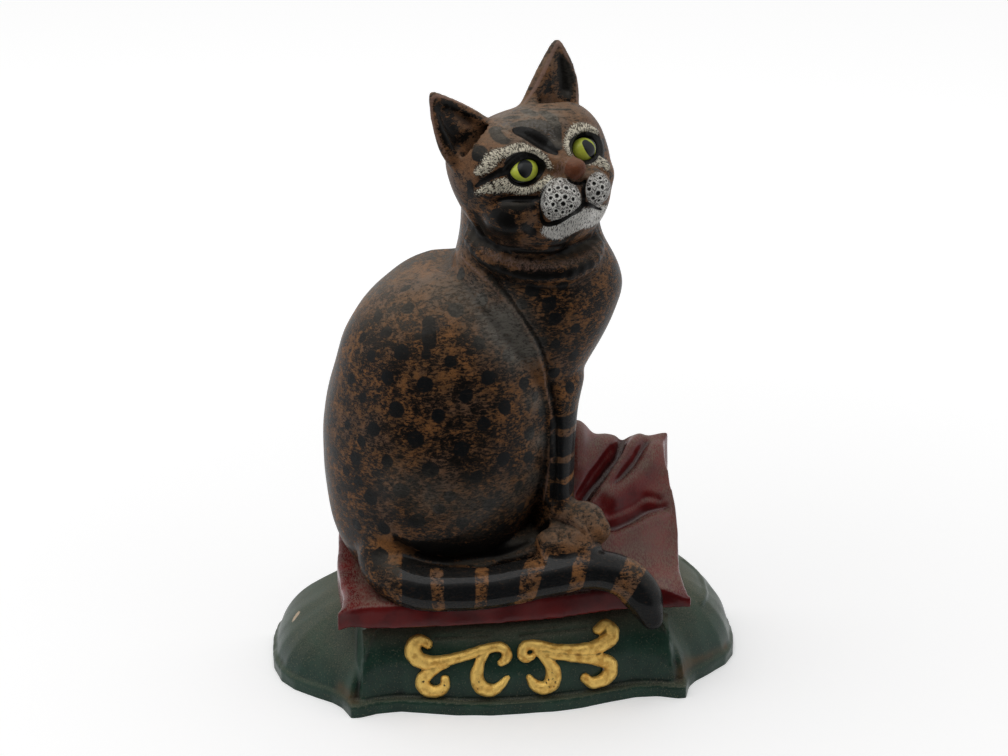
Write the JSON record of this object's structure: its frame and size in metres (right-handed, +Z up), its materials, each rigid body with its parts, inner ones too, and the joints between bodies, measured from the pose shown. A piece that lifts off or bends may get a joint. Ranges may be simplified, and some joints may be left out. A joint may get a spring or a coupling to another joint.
{
  "type": "doorstop",
  "caption": "Hollow, flat-backed cast iron doorstop: a painted cat looks up and to one side, seated on a cushion over a low domed plinth with gilt scrolls.",
  "frame": {"origin": "on the floor, under the middle of the object's bounding box", "axes": "+X to the viewer's right, +Y back to the door behind the flat back, +Z up"},
  "size_m": [0.1839, 0.076, 0.2461],
  "materials": {
    "green_paint": "dark green oil paint over cast iron, dusty on upward faces",
    "red_paint": "deep red gloss paint over cast iron, dulled by dust on top",
    "cat_paint": "black paint dry-brushed with orange brown over cast iron, black dots and tail bands, white touches on the face",
    "gilt": "gold paint over cast brass, dark in its hollows",
    "eye_glass": "opaque yellow green glass with a dark pupil, high gloss",
    "steel": "plain steel, darkened with age"
  },
  "bodies": {
    "root": {"plinth": "green_paint", "cushion": "red_paint", "cat": "cat_paint", "scroll_left": "gilt", "scroll_right": "gilt", "eye_left": "eye_glass", "eye_right": "eye_glass", "clamp_screw_left": "steel", "clamp_screw_right": "steel", "washer_left": "steel", "washer_right": "steel", "scroll_screw_left_1": "steel", "scroll_screw_left_2": "steel", "scroll_screw_right_1": "steel", "scroll_screw_right_2": "steel"}
  },
  "joints": []
}
